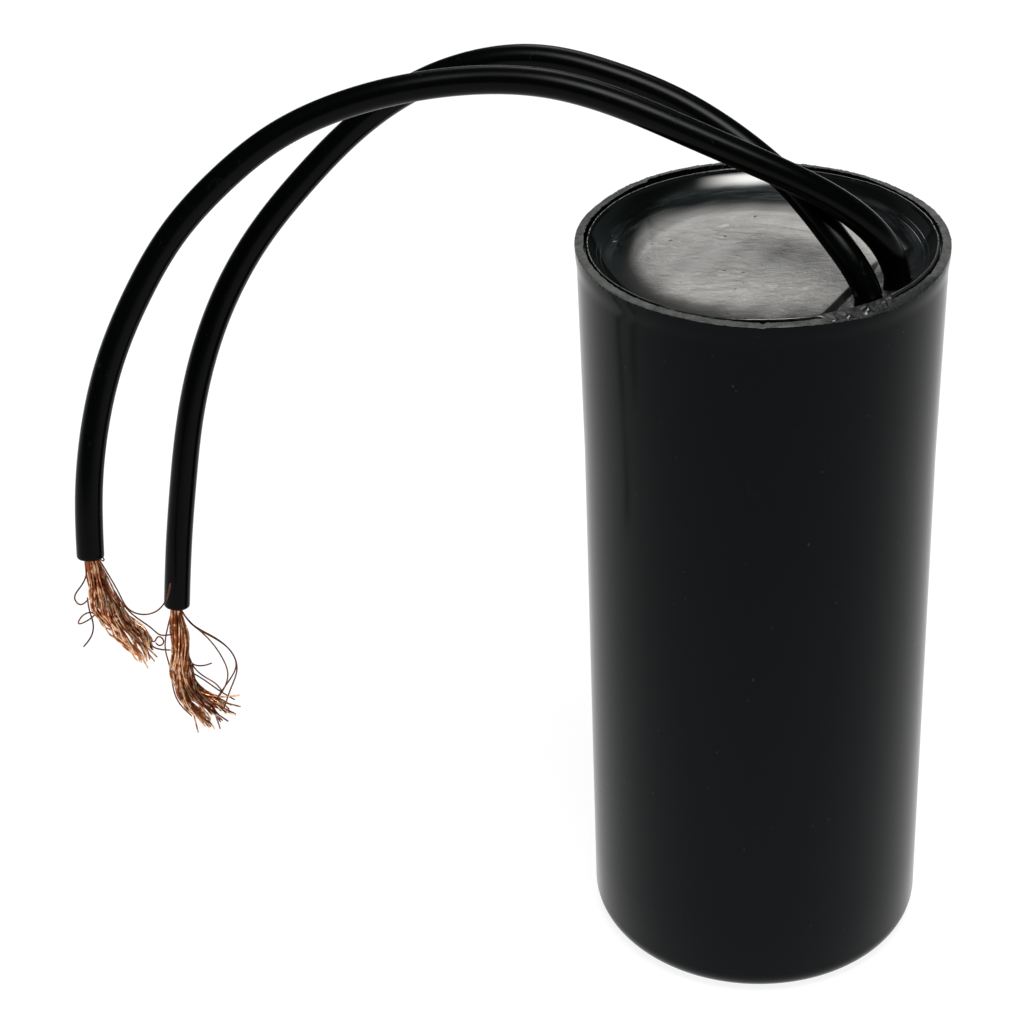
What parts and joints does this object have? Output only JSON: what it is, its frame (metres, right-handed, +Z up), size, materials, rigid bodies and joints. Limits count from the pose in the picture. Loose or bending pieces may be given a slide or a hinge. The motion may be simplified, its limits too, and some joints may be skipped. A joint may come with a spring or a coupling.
{
  "type": "motor capacitor with flying leads",
  "caption": "Cylindrical black plastic can holding a wound film roll potted in glossy resin, with insulated leads that arch out of the top and end in bare copper strands.",
  "frame": {"origin": "centre of the can's flat base", "axes": "+Z up along the can's axis towards the open, potted end; -X the side to which the leads arch; +Y away from the viewer of the front"},
  "size_m": [0.0751, 0.0312, 0.0855],
  "materials": {
    "case_plastic": "moulded black plastic, semi-gloss, with a matte trimmed rim",
    "metallised_film": "tightly wound metallised film",
    "core_plastic": "extruded tube",
    "zinc_spray": "rough sprayed zinc",
    "copper": "bare stranded copper",
    "solder": "bright solder",
    "lead_insulation": "smooth black insulation",
    "resin": "glossy black potting resin"
  },
  "bodies": {
    "root": {"case": "case_plastic", "film_roll": "metallised_film", "roll_core": "core_plastic", "end_spray_lower": "zinc_spray", "end_spray_upper": "zinc_spray", "lead_a_conductor": "copper", "lead_b_conductor": "copper", "solder_lower": "solder", "solder_upper": "solder", "lead_a_potted": "lead_insulation", "lead_b_potted": "lead_insulation", "potting_resin": "resin", "lead_a": "lead_insulation", "lead_b": "lead_insulation", "lead_a_strands": "copper", "lead_b_strands": "copper"}
  },
  "joints": []
}
